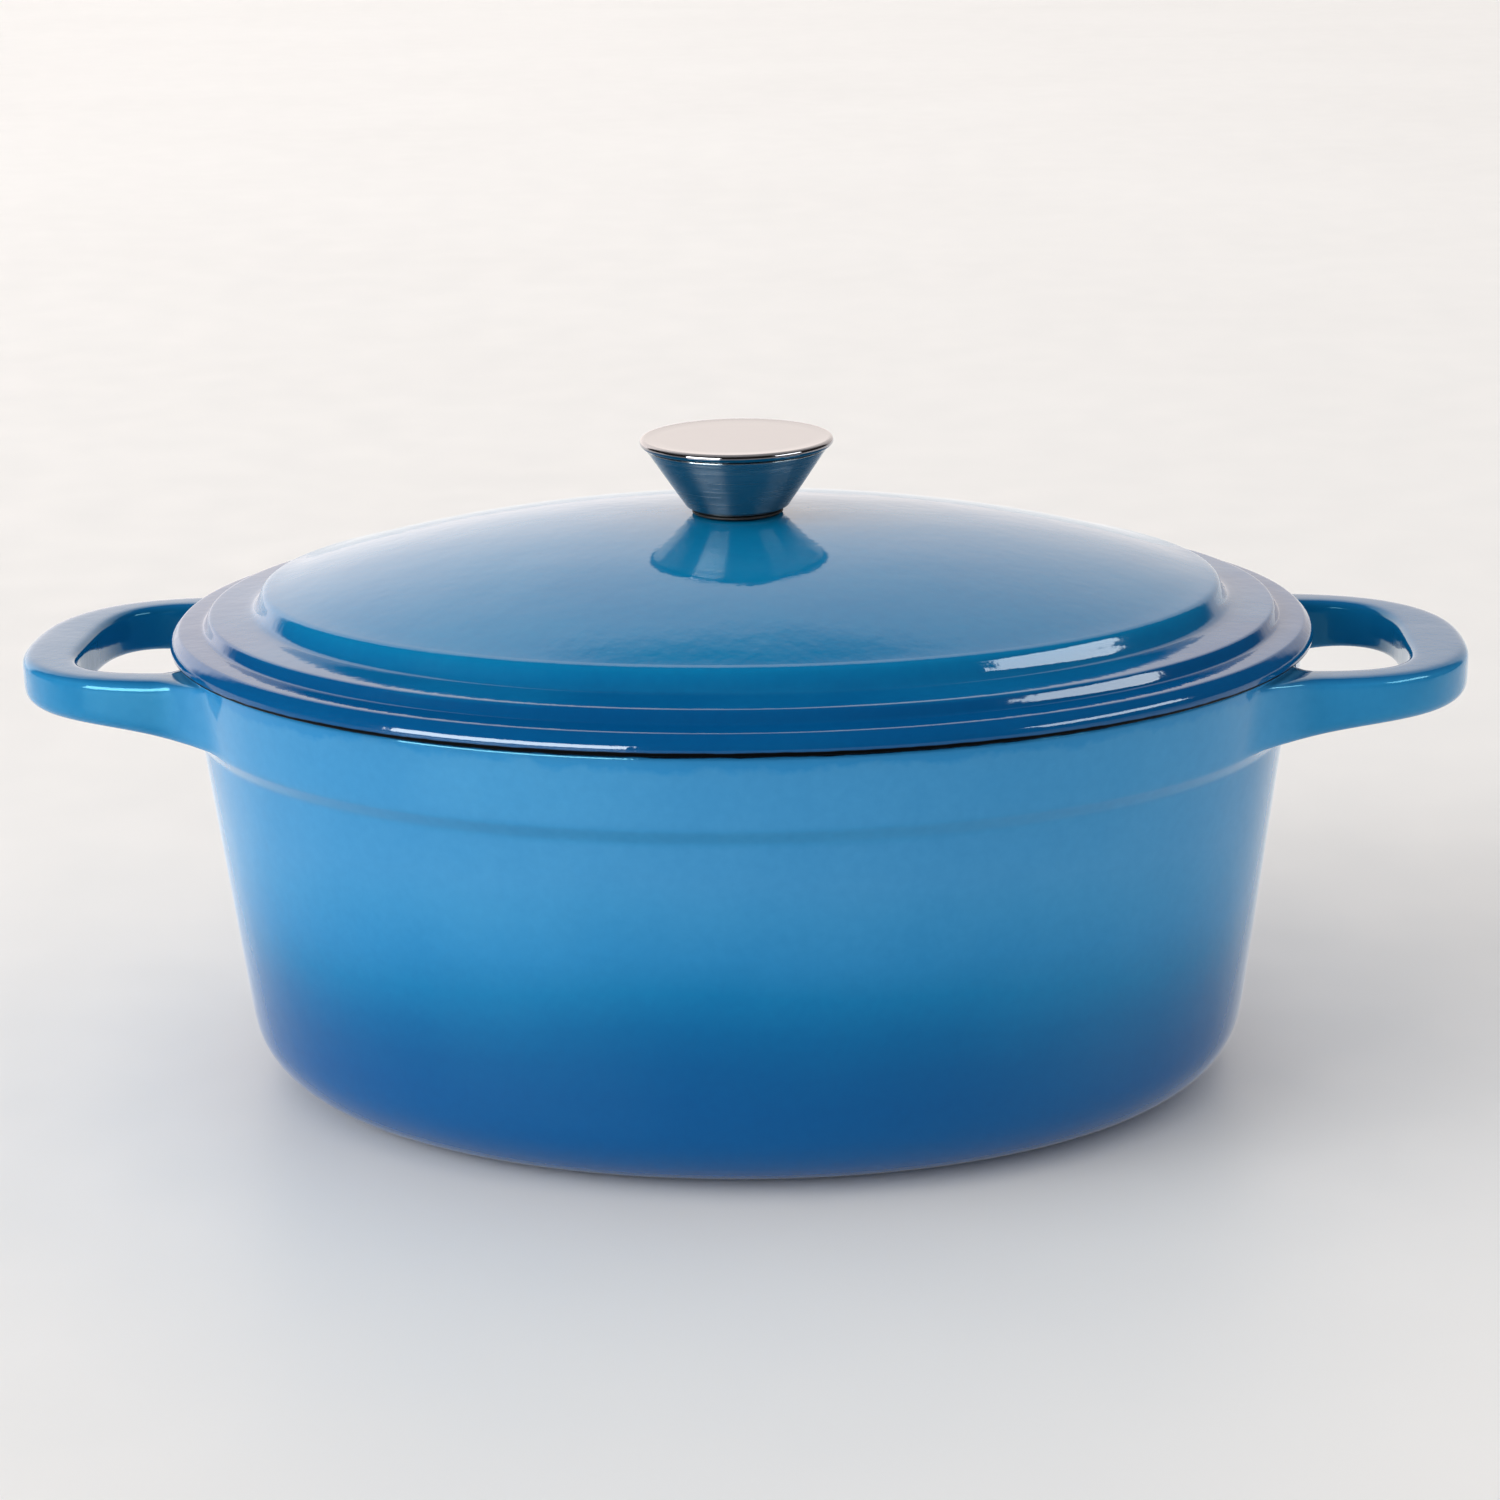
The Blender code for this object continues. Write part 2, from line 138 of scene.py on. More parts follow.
def inset_ring(bm, inset, z, angles):
    return add_ring(bm, [(*oval(HALF_LENGTH - inset, HALF_WIDTH - inset, a), z) for a in angles])


def join_rings(bm, lower, upper, material=0, skip=()):
    count = len(lower)
    for i in range(count):
        if i in skip:
            continue
        j = (i + 1) % count
        face = bm.faces.new((lower[i], lower[j], upper[j], upper[i]))
        face.material_index = material


def finish_mesh(name, bm, materials, levels=0, sharp=None):
    bmesh.ops.recalc_face_normals(bm, faces=bm.faces)
    mesh = bpy.data.meshes.new(name)
    bm.to_mesh(mesh)
    bm.free()
    for material in materials:
        mesh.materials.append(material)
    mesh.shade_smooth()
    if sharp:
        mesh.set_sharp_from_angle(angle=math.radians(sharp))
    piece = bpy.data.objects.new(name, mesh)
    bpy.context.scene.collection.objects.link(piece)
    if levels:
        smooth = piece.modifiers.new("smooth", "SUBSURF")
        smooth.levels = levels
        smooth.render_levels = levels
    return piece


def lathe(name, profile, columns, materials, closed, sharp):
    """A solid of revolution about Z from (radius, z) points in millimetres."""
    bm = bmesh.new()
    turns = [2.0 * math.pi * i / columns for i in range(columns)]
    rings = [add_ring(bm, [(r * math.cos(a), r * math.sin(a), z) for a in turns]) for r, z in profile]
    for lower, upper in zip(rings, rings[1:]):
        join_rings(bm, lower, upper)
    if closed:
        join_rings(bm, rings[-1], rings[0])
    else:
        bm.faces.new(rings[0])
        bm.faces.new(rings[-1])
    return finish_mesh(name, bm, materials, 0, sharp)


# Material helpers --------------------------------------------------------------------------------

class Graph:
    """A node tree being built: short calls that add nodes and link them."""

    def __init__(self, tree):
        self.tree = tree

    def node(self, kind, **settings):
        node = self.tree.nodes.new(kind)
        for key, value in settings.items():
            setattr(node, key, value)
        return node

    def feed(self, socket, value):
        if isinstance(value, bpy.types.NodeSocket):
            self.tree.links.new(value, socket)
        else:
            socket.default_value = value

    def math(self, operation, a, b=0.0):
        node = self.node("ShaderNodeMath", operation=operation)
        self.feed(node.inputs[0], a)
        self.feed(node.inputs[1], b)
        return node.outputs[0]

    def place(self):
        return self.node("ShaderNodeTexCoord").outputs["Object"]

    def axes(self):
        node = self.node("ShaderNodeSeparateXYZ")
        self.feed(node.inputs[0], self.place())
        return node.outputs[0], node.outputs[1], node.outputs[2]

    def combine(self, x, y, z):
        node = self.node("ShaderNodeCombineXYZ")
        self.feed(node.inputs[0], x)
        self.feed(node.inputs[1], y)
        self.feed(node.inputs[2], z)
        return node.outputs[0]

    def noise(self, scale, detail=2.0, vector=None, roughness=0.5):
        node = self.node("ShaderNodeTexNoise")
        self.feed(node.inputs["Vector"], vector or self.place())
        node.inputs["Scale"].default_value = scale
        node.inputs["Detail"].default_value = detail
        node.inputs["Roughness"].default_value = roughness
        return node.outputs["Fac"]

    def ramp(self, factor, stops):
        node = self.node("ShaderNodeValToRGB")
        band = node.color_ramp
        while len(band.elements) < len(stops):
            band.elements.new(0.5)
        for element, (position, colour) in zip(band.elements, stops):
            element.position = position
            element.color = (*colour, 1.0)
        self.feed(node.inputs[0], factor)
        return node.outputs[0]

    def span(self, value, low, high, out_low=0.0, out_high=1.0, smooth=False):
        node = self.node("ShaderNodeMapRange", interpolation_type="SMOOTHSTEP" if smooth else "LINEAR")
        self.feed(node.inputs[0], value)
        for socket, number in zip(node.inputs[1:5], (low, high, out_low, out_high)):
            socket.default_value = number
        return node.outputs[0]

    def mix(self, factor, a, b, blend="MIX"):
        node = self.node("ShaderNodeMix", data_type="RGBA", blend_type=blend)
        self.feed(node.inputs[0], factor)
        self.feed(node.inputs[6], a if not isinstance(a, tuple) else (*a, 1.0))
        self.feed(node.inputs[7], b if not isinstance(b, tuple) else (*b, 1.0))
        return node.outputs[2]

    def bump(self, height, distance, normal=None):
        node = self.node("ShaderNodeBump")
        node.inputs["Strength"].default_value = 1.0
        node.inputs["Distance"].default_value = distance
        self.feed(node.inputs["Height"], height)
        if normal is not None:
            self.feed(node.inputs["Normal"], normal)
        return node.outputs[0]


class Shade(Graph):
    """A material with one Principled shader."""

    def __init__(self, name):
        self.material = bpy.data.materials.new(name)
        self.material.use_nodes = True
        super().__init__(self.material.node_tree)
        self.shader = self.tree.nodes["Principled BSDF"]

    def set(self, **values):
        names = {"colour": "Base Color", "roughness": "Roughness", "metallic": "Metallic", "ior": "IOR",
                 "normal": "Normal", "tangent": "Tangent", "anisotropic": "Anisotropic",
                 "rotation": "Anisotropic Rotation", "tint": "Specular Tint"}
        for key, value in values.items():
            socket = self.shader.inputs[names[key]]
            if isinstance(value, tuple) and len(value) == 3 and socket.type == "RGBA":
                value = (*value, 1.0)
            self.feed(socket, value)
        return self.material


def orange_peel(shade):
    """The soft waviness of fired enamel: broad swells, dimples a few millimetres across and a fine grain."""
    swell = shade.bump(shade.noise(42.0, 1.0), 0.00020)
    dimple = shade.bump(shade.noise(250.0, 2.0), 0.000055, normal=swell)
    return shade.bump(shade.noise(1300.0, 2.0), 0.0000022, normal=dimple)


# Colours -----------------------------------------------------------------------------------------

SKY = (0.049, 0.258, 0.530)
DEEP = (0.0003, 0.076, 0.268)
DISH_SHADES = [(0.0, DEEP), (0.16, (0.0003, 0.086, 0.280)), (0.33, (0.0006, 0.114, 0.322)),
               (0.50, (0.004, 0.163, 0.395)), (0.67, (0.021, 0.212, 0.475)), (0.84, (0.036, 0.243, 0.510)),
               (1.0, SKY)]
LID_SHADES = [(0.0, (0.0006, 0.076, 0.228)), (0.12, (0.003, 0.118, 0.290)), (0.38, (0.0018, 0.138, 0.330)),
              (0.75, (0.002, 0.166, 0.362)), (1.0, (0.002, 0.172, 0.370))]
BLACK = (0.0045, 0.0045, 0.0050)


def dish_enamel():
    """Sky blue above, shading to deep blue below and in the finger gaps, with a black ground coat at the rim.

    The specular tint keeps the reflections blue. The ground coat is a metal that is almost black, so that
    its thin line reflects next to nothing and also stands as painted shade of the gap under the lid.
    """
    s = Shade("dish_enamel")
    x, y, z = s.axes()
    drift = s.math("MULTIPLY", s.math("SUBTRACT", s.noise(14.0, 2.0), 0.5), 0.016)
    sag = s.math("MULTIPLY", s.math("MULTIPLY", x, x), 0.50)
    level = s.span(s.math("ADD", s.math("ADD", z, drift), sag), 0.026, 0.086)
    shading = s.ramp(level, DISH_SHADES)
    mottle = s.ramp(s.noise(420.0, 3.0), [(0.30, (0.94, 0.965, 0.975)), (0.72, (1.05, 1.03, 1.02))])
    cloud = s.ramp(s.noise(60.0, 3.0), [(0.30, (0.95, 0.982, 0.99)), (0.70, (1.05, 1.018, 1.01))])
    body = s.mix(1.0, s.mix(1.0, shading, mottle, "MULTIPLY"), cloud, "MULTIPLY")

    # The glaze is deeper out on the handles, and gathers in an uneven band under the rim.
    squared = s.math("ADD", s.math("POWER", s.math("DIVIDE", x, HALF_LENGTH * MM), 2.0),
                     s.math("POWER", s.math("DIVIDE", y, HALF_WIDTH * MM), 2.0))
    near = s.span(squared, 0.985, 1.005, 1.0, 0.0)
    deeper = s.mix(1.0, body, (0.40, 0.80, 0.84), "MULTIPLY")
    body = s.mix(s.span(squared, 0.98, 1.12, 0.0, 1.0, True), body, deeper)
    run = s.math("MULTIPLY", s.math("SUBTRACT", s.noise(55.0, 4.0, roughness=0.65), 0.5), 0.012)
    roll = s.math("MULTIPLY", s.span(s.math("ADD", z, run), 0.1140, 0.1156), near)
    body = s.mix(s.math("MULTIPLY", roll, 0.62), body, (0.012, 0.205, 0.500))

    # The pale coat was laid on from outside, so the walls of the finger gaps stay deep blue.
    across = s.math("DIVIDE", s.math("SUBTRACT", s.math("ABSOLUTE", x), HANDLE_CENTRE * MM), IN_LENGTH * MM)
    along = s.math("DIVIDE", y, IN_WIDTH * MM)
    reach = s.math("ADD", s.math("POWER", s.math("ABSOLUTE", across), IN_POWER),
                   s.math("POWER", s.math("ABSOLUTE", along), IN_POWER))
    gap = s.math("MULTIPLY", s.span(reach, 1.02, 1.22, 1.0, 0.0, True), s.span(squared, 0.97, 1.0))
    gap = s.math("MULTIPLY", gap, s.span(z, 0.1000, 0.1045))
    body = s.mix(s.math("MULTIPLY", gap, 0.92), body, (0.001, 0.088, 0.215))

    # The handles' tops are deep blue too.
    top = s.math("MULTIPLY", s.span(z, 0.1148, 0.1162), s.span(squared, 1.0, 1.03))
    body = s.mix(top, body, (0.004, 0.092, 0.250))

    # Painted shade: a darker band in the fold under the collar, where the collar's step shades the wall,
    # strongest in the middle of the long sides.
    fold_shade_low = s.span(z, 0.0935, 0.0970, 0.0, 1.0, True)
    fold_shade_high = s.span(z, 0.0975, 0.1005, 1.0, 0.0, True)
    fold_shade = s.math("MULTIPLY", fold_shade_low, fold_shade_high)
    fold_shade = s.math("MULTIPLY", fold_shade, s.span(s.math("ABSOLUTE", x), 0.020, 0.110, 0.75, 0.15))
    body = s.mix(fold_shade, body, s.mix(1.0, body, (0.45, 0.88, 0.90), "MULTIPLY"))

    # Painted shade: the black ground coat, a near-black metal that reflects next to nothing, also stands for
    # the shade in the gap under the lid.
    nibble = s.math("MULTIPLY", s.math("SUBTRACT", s.noise(160.0, 2.0), 0.5), 0.0007)
    edge = s.math("MULTIPLY", s.span(s.math("ADD", z, nibble), 0.11715, 0.11735), near)
    colour = s.mix(edge, body, BLACK)
    gloss = s.span(s.noise(90.0, 3.0), 0.3, 0.7, 0.055, 0.085)
    roughness = s.math("ADD", gloss, s.math("MULTIPLY", edge, 0.45))
    return s.set(colour=colour, roughness=roughness, metallic=edge, ior=1.56, normal=orange_peel(s),
                 tint=(0.32, 0.88, 1.0))


def lid_enamel():
    """Blue, deeper towards the rim, with a black lower edge that thins towards the lid's ends."""
    s = Shade("lid_enamel")
    x, _, z = s.axes()
    drift = s.math("MULTIPLY", s.math("SUBTRACT", s.noise(20.0, 2.0), 0.5), 0.003)
    level = s.span(s.math("ADD", z, drift), 0.1260, 0.1360)
    mottle = s.ramp(s.noise(380.0, 3.0), [(0.30, (0.92, 0.965, 0.975)), (0.72, (1.07, 1.035, 1.02))])
    cloud = s.ramp(s.noise(26.0, 3.0), [(0.30, (0.85, 0.95, 0.97)), (0.70, (1.12, 1.04, 1.02))])
    body = s.mix(1.0, s.mix(1.0, s.ramp(level, LID_SHADES), mottle, "MULTIPLY"), cloud, "MULTIPLY")
    # Painted shade: the black lower edge, a near-black metal that reflects next to nothing, also stands for
    # the shade in the gap over the dish's rim.
    nibble = s.math("MULTIPLY", s.math("SUBTRACT", s.noise(160.0, 2.0), 0.5), 0.0005)
    lift = s.math("MULTIPLY", s.math("MULTIPLY", x, x), 0.028)
    edge = s.span(s.math("ADD", s.math("ADD", z, lift), nibble), 0.11910, 0.11935, 1.0, 0.0)
    colour = s.mix(edge, body, BLACK)
    gloss = s.span(s.noise(90.0, 3.0), 0.3, 0.7, 0.050, 0.080)
    roughness = s.math("ADD", gloss, s.math("MULTIPLY", edge, 0.45))
    return s.set(colour=colour, roughness=roughness, metallic=edge, ior=1.56, normal=orange_peel(s),
                 tint=(0.85, 0.95, 1.0))


def black_enamel():
    """Matt black enamel of the inside: fine tooth and sparse paler specks."""
    s = Shade("black_enamel")
    tooth = s.noise(1600.0, 3.0)
    speck = s.math("GREATER_THAN", s.noise(900.0, 1.0), 0.74)
    colour = s.mix(speck, s.ramp(tooth, [(0.3, (0.008, 0.008, 0.009)), (0.7, (0.017, 0.017, 0.018))]),
                   (0.060, 0.060, 0.062))
    roughness = s.span(s.noise(300.0, 3.0), 0.3, 0.7, 0.38, 0.50)
    height = s.bump(tooth, 0.00003, normal=s.bump(s.noise(120.0, 2.0), 0.00003))
    return s.set(colour=colour, roughness=roughness, ior=1.5, normal=height)


def from_axis(s, x, y):
    return s.math("SQRT", s.math("ADD", s.math("MULTIPLY", x, x), s.math("MULTIPLY", y, y)))


def round_vector(s, around, along):
    """Coordinates that follow the turning direction, so noise becomes fine rings."""
    x, y, z = s.axes()
    turn = s.math("ARCTAN2", y, x)
    radius = from_axis(s, x, y)
    return s.combine(s.math("MULTIPLY", turn, around), s.math("MULTIPLY", z, along),
                     s.math("MULTIPLY", radius, along))


def brushed_steel():
    """Satin steel with fine rings round the cone, and colours darker than bare steel's, as for the cap."""
    s = Shade("brushed_stainless")
    rings = s.noise(1.0, 2.0, round_vector(s, 1.2, 5200.0), 0.6)
    broad = s.noise(1.0, 1.0, round_vector(s, 0.5, 900.0))
    colour = s.ramp(rings, [(0.25, (0.24, 0.29, 0.32)), (0.75, (0.38, 0.43, 0.46))])
    roughness = s.math("ADD", s.span(rings, 0.3, 0.7, 0.20, 0.26), s.span(broad, 0.3, 0.7, 0.0, 0.04))
    tangent = s.node("ShaderNodeTangent", direction_type="RADIAL", axis="Z").outputs[0]
    return s.set(colour=colour, metallic=1.0, roughness=roughness, anisotropic=0.96, rotation=0.25,
                 tangent=tangent, normal=s.bump(rings, 0.0000025))


def polished_steel():
    """Mirror steel, with colours far darker than bare steel's, to give the photograph's tone in these lights.

    The flat top is only partly metal, so that it is dark grey and not black where it reflects the dark room.
    """
    s = Shade("polished_stainless")
    haze = s.noise(1.0, 3.0, round_vector(s, 3.0, 1500.0), 0.6)
    colour = s.ramp(s.noise(70.0, 2.0), [(0.3, (0.285, 0.285, 0.310)), (0.7, (0.305, 0.305, 0.330))])
    flat = s.span(s.axes()[2], 0.16845, 0.16875)
    colour = s.mix(flat, colour, (0.330, 0.320, 0.335))
    metallic = s.math("SUBTRACT", 1.0, s.math("MULTIPLY", flat, 0.55))
    return s.set(colour=colour, metallic=metallic, roughness=s.span(haze, 0.3, 0.7, 0.035, 0.075),
                 normal=s.bump(s.noise(55.0, 1.0), 0.000010))


def plated_steel():
    s = Shade("plated_steel")
    grain = s.noise(1.0, 3.0, round_vector(s, 4.0, 2600.0), 0.6)
    colour = s.ramp(s.noise(260.0, 4.0), [(0.3, (0.47, 0.46, 0.43)), (0.7, (0.66, 0.64, 0.58))])
    return s.set(colour=colour, metallic=1.0, roughness=s.span(grain, 0.3, 0.7, 0.26, 0.42),
                 normal=s.bump(grain, 0.000006))


def silicone():
    s = Shade("silicone")
    colour = s.ramp(s.noise(500.0, 3.0), [(0.3, (0.010, 0.010, 0.011)), (0.7, (0.020, 0.020, 0.021))])
    return s.set(colour=colour, roughness=s.span(s.noise(700.0, 2.0), 0.3, 0.7, 0.50, 0.65), ior=1.38,
                 normal=s.bump(s.noise(1500.0, 2.0), 0.00001))


def pale_floor():
    """Plain and pale, with a painted glow (emission) that grows towards the distance and the left, so that it
    passes for a bright backdrop.

    Reflections see another floor: painted much dimmer in front, most of all on the left, and given a painted
    glow behind.
    """
    s = Shade("pale_floor")
    x, y, _ = s.axes()
    colour = s.ramp(s.noise(3.0, 3.0), [(0.3, (0.800, 0.790, 0.785)), (0.7, (0.825, 0.815, 0.810))])
    away = from_axis(s, x, y)
    glossy = s.node("ShaderNodeLightPath").outputs["Is Glossy Ray"]
    # Painted shade in reflections: the floor seen by glossy rays is darkened in front.
    front = s.span(y, -0.20, 0.05, 1.0, 0.0)
    loss = s.math("MULTIPLY", front, s.span(x, -0.35, 0.40, 0.60, 0.34))
    dim = s.math("SUBTRACT", 1.0, s.math("MULTIPLY", glossy, loss))
    s.feed(s.shader.inputs["Emission Color"], (1.0, 1.0, 1.0, 1.0))
    # Painted light: emission makes the far floor glow, more on the left, and adds glow to the floor seen in
    # reflections behind.
    distant = s.span(away, 0.45, 2.2, 0.0, 1.0, True)
    glow = s.math("MULTIPLY", distant, s.span(x, -0.8, 1.4, 0.05, 0.0))
    glow = s.math("ADD", glow, s.math("MULTIPLY", glossy, s.span(front, 0.0, 1.0, 0.22, 0.0)))
    s.feed(s.shader.inputs["Emission Strength"], glow)
    colour = s.mix(1.0, colour, s.combine(dim, dim, dim), "MULTIPLY")
    return s.set(colour=colour, roughness=s.span(s.noise(30.0, 3.0), 0.3, 0.7, 0.42, 0.52), ior=1.45)


# Dish --------------------------------------------------------------------------------------------

END_STEPS = 6            # columns across the end, from the middle to an arm
ROOT_COLUMNS = 7         # quads across an arm's root
ROOT_ROWS = 6            # quads up an arm's root
SIDE_STEPS = 22
ROOT_INNER, ROOT_OUTER = 31.0, 51.0
ROOT_LOW, ROOT_HIGH = 98.9, 116.0
HANDLE_TURNS = 18        # sections from the root to the handle's end


def wall_inset(z):
    return WALL_LOW + (WALL_HIGH - WALL_LOW) * z / WALL_TOP


def column_angles():
    half_width = HALF_WIDTH - COLLAR_MIDDLE
    stations = [ROOT_INNER * i / END_STEPS for i in range(END_STEPS)]
    stations += [ROOT_INNER + (ROOT_OUTER - ROOT_INNER) * i / ROOT_COLUMNS for i in range(ROOT_COLUMNS + 1)]
    quarter = [math.asin((y / half_width) ** (OVAL_POWER / 2.0)) for y in stations]
    last = quarter[-1]
    quarter += [last + (math.pi / 2.0 - last) * i / SIDE_STEPS for i in range(1, SIDE_STEPS + 1)]
    angles = quarter + [math.pi - a for a in reversed(quarter[:-1])]
    return angles + [math.pi + a for a in quarter[1:]] + [2.0 * math.pi - a for a in reversed(quarter[1:-1])]


def dish_rows():
    """Rows as (inset, z), the index of the first row in the arms' roots, and of the first inside row."""
    low = rounded([(70.0, 0.5, 0.0), (46.0, 0.5, 0.6), (44.2, 0.0, 0.6), (WALL_LOW, 0.0, BASE_FILLET),
                   (wall_inset(30.0), 30.0, 0.0)], 4)
    wall = [(wall_inset(z), z) for z in (42.0, 54.0, 66.0, 78.0, 88.0)]
    ridge = rounded([(wall_inset(91.4), 91.4, 0.0), (wall_inset(95.4), 95.4, 3.6), (COLLAR_LOW, 99.0, 2.6),
                     (4.05, 101.4, 0.0)], 3)[:-1]
    outside = [p for p in low + wall + ridge if p[1] < ROOT_LOW - 0.15]
    first_root = len(outside)
    for i in range(ROOT_ROWS + 1):
        z = ROOT_LOW + (ROOT_HIGH - ROOT_LOW) * i / ROOT_ROWS
        inset = COLLAR_LOW + (COLLAR_HIGH - COLLAR_LOW) * (z - COLLAR_BOTTOM) / (RIM - COLLAR_BOTTOM)
        outside.append((inset, z))
    rim = rounded([outside[-1] + (0.0,), (COLLAR_HIGH, RIM, 1.15), (9.2, RIM, 0.9),
                   (wall_inset(86.0) + WALL + 0.4, 86.0, 0.0)], 4)[1:]
    rim_rows = [p for p in rim if p[1] > 100.0]
    inside = rounded([(wall_inset(100.0) + WALL + 0.6, 100.0, 0.0), (wall_inset(60.0) + WALL, 60.0, 0.0),
                      (21.4, WALL, INSIDE_FILLET), (70.0, WALL, 0.0)], 4)
    return outside + rim_rows + inside, first_root, len(outside) + 5


def plan_point(length, width, power, degrees):
    angle = math.radians(degrees)
    along = abs(math.cos(angle)) / length
    across = abs(math.sin(angle)) / width
    reach = (along ** power + across ** power) ** (-1.0 / power)
    return Vector((HANDLE_CENTRE + reach * math.cos(angle), reach * math.sin(angle)))


def section_path(width, height, radii):
    """(u, v) points round a rounded rectangle, from the middle of its inner lower corner, and outwards."""
    corners = [(0.0, 0.0), (width, 0.0), (width, height), (0.0, height)]
    arcs = []
    for i, ((u, v), radius) in enumerate(zip(corners, radii)):
        centre_u = u + radius * (1.0 if u == 0.0 else -1.0)
        centre_v = v + radius * (1.0 if v == 0.0 else -1.0)
        start = math.pi + i * math.pi / 2.0
        arcs.append([(centre_u + radius * math.cos(start + k * math.pi / 8.0),
                      centre_v + radius * math.sin(start + k * math.pi / 8.0)) for k in range(5)])
    path = []
    for i in range(4):
        this, following = arcs[i], arcs[(i + 1) % 4]
        gaps = ROOT_COLUMNS - 4 if i % 2 == 0 else ROOT_ROWS - 4
        path += this[2:]
        for k in range(1, gaps):
            t = k / gaps
            path.append((this[4][0] + (following[0][0] - this[4][0]) * t,
                         this[4][1] + (following[0][1] - this[4][1]) * t))
        path += following[:2]
    return path


def handle_section(bm, side, out_degrees, in_degrees):
    outer = plan_point(HANDLE_REACH - HANDLE_CENTRE, OUT_WIDTH, OUT_POWER, out_degrees)
    inner = plan_point(IN_LENGTH, IN_WIDTH, IN_POWER, in_degrees)
    width = (outer - inner).length
    step = (outer - inner) / width
    root = HANDLE_TOP - HANDLE_THICKNESS - ROOT_LOW
    bottom = HANDLE_TOP - HANDLE_THICKNESS - root * (abs(out_degrees) / 95.0) ** 5
    height = HANDLE_TOP - bottom
    points = []
    for u, v in section_path(width, height, HANDLE_ROUNDS):
        spot = inner + step * u
        on_top = v > height - 0.01
        crown = HANDLE_CROWN * math.sin(math.pi * min(max(u / width, 0.0), 1.0)) if on_top else 0.0
        points.append((side * spot.x, spot.y, bottom + v + crown - HANDLE_CROWN))
    return add_ring(bm, points)


def root_ring(rings, first, columns):
    rows = rings[first:first + ROOT_ROWS + 1]
    ring = [rows[0][c] for c in columns]
    ring += [row[columns[-1]] for row in rows[1:]]
    ring += [rows[-1][c] for c in reversed(columns[:-1])]
    return ring + [row[columns[0]] for row in reversed(rows[1:-1])]


def handle_turns():
    """Pairs of angles round the outline and round the hole, one pair for each section."""
    outs = (88.0, 78.0, 66.0, 54.0, 43.0, 32.0, 21.0, 10.0, 0.0)
    ins = (81.0, 72.0, 62.0, 52.0, 43.0, 32.0, 21.0, 10.0, 0.0)
    half = []
    for i in range(HANDLE_TURNS + 1):
        place = (len(outs) - 1) * i / HANDLE_TURNS
        k = min(int(place), len(outs) - 2)
        t = place - k
        half.append((outs[k] + (outs[k + 1] - outs[k]) * t, ins[k] + (ins[k + 1] - ins[k]) * t))
    return half + [(-a, -b) for a, b in reversed(half[:-1])]


def make_dish(outside, inside):
    bm = bmesh.new()
    angles = column_angles()
    count = len(angles)
    half = count // 2
    rows, first_root, first_inside = dish_rows()
    rings = [inset_ring(bm, inset, z, angles) for inset, z in rows]
    near = [END_STEPS + i for i in range(ROOT_COLUMNS + 1)]
    roots = {(1, 1): near, (1, -1): [(count - i) % count for i in near],
             (-1, 1): [half - i for i in near], (-1, -1): [half + i for i in near]}
    open_columns = set()
    for columns in roots.values():
        open_columns.update(sorted(columns)[:-1])
    for index, (lower, upper) in enumerate(zip(rings, rings[1:])):
        skip = open_columns if first_root <= index < first_root + ROOT_ROWS else ()
        join_rings(bm, lower, upper, 1 if index >= first_inside else 0, skip)
    bm.faces.new(rings[0])
    bm.faces.new(rings[-1]).material_index = 1
    for side in (1, -1):
        chain = [root_ring(rings, first_root, roots[(side, 1)])]
        chain += [handle_section(bm, side, out, within) for out, within in handle_turns()]
        chain.append(root_ring(rings, first_root, roots[(side, -1)]))
        for first, second in zip(chain, chain[1:]):
            join_rings(bm, first, second)
    return finish_mesh("dish", bm, [outside, inside], 1)


# Lid ---------------------------------------------------------------------------------------------

def dome_height(x, y):
    reach_x = abs(x) / (HALF_LENGTH - PANEL_INSET)
    reach_y = abs(y) / (HALF_WIDTH - PANEL_INSET)
    reach = (reach_x ** OVAL_POWER + reach_y ** OVAL_POWER) ** (1.0 / OVAL_POWER)
    return DOME_TOP - (DOME_TOP - PANEL_HEIGHT) * min(reach, 1.1) ** DOME_POWER


def dome_ring(bm, share, angles, drop):
    half_length = SCREW_HOLE + (HALF_LENGTH - PANEL_INSET - SCREW_HOLE) * share
    half_width = SCREW_HOLE + (HALF_WIDTH - PANEL_INSET - SCREW_HOLE) * share
    spots = [oval(half_length, half_width, a) for a in angles]
    return add_ring(bm, [(x, y, dome_height(x, y) - drop) for x, y in spots])


def lid_rows():
    """(inset, z) rows from under the panel's edge, round the locating lip and edge, and up both steps."""
    floor = RIM + GAP
    under = rounded([(30.0, 129.0, 0.0), (25.2, 127.6, 5.0), (16.6, 121.9, 2.5), (13.8, 121.2, 2.0),
                     (13.3, LIP_BOTTOM, 0.9), (10.7, LIP_BOTTOM, 0.9), (10.2, floor + 0.1, 1.2),
                     (1.6, floor, 0.0)], 2)
    edge = [(0.6, floor)]
    for k in range(7):
        turn = math.radians(-16.0 + 10.8 * k)
        edge.append((EDGE_ROUND - EDGE_ROUND * math.cos(turn), EDGE_CENTRE + EDGE_ROUND * math.sin(turn)))
    steps = rounded([edge[-1] + (0.0,), (2.35, 123.15, 1.1), (4.4, 123.22, 0.0), (8.75, 123.34, 1.2),
                     (10.25, 126.5, 1.0), (11.6, 126.56, 0.0), (21.95, 126.92, 2.7), (24.25, 132.3, 2.2),
                     (26.4, 132.8, 1.6), (27.4, 133.15, 0.0)], 3)[1:-1]
    return under + edge + steps, len(under)


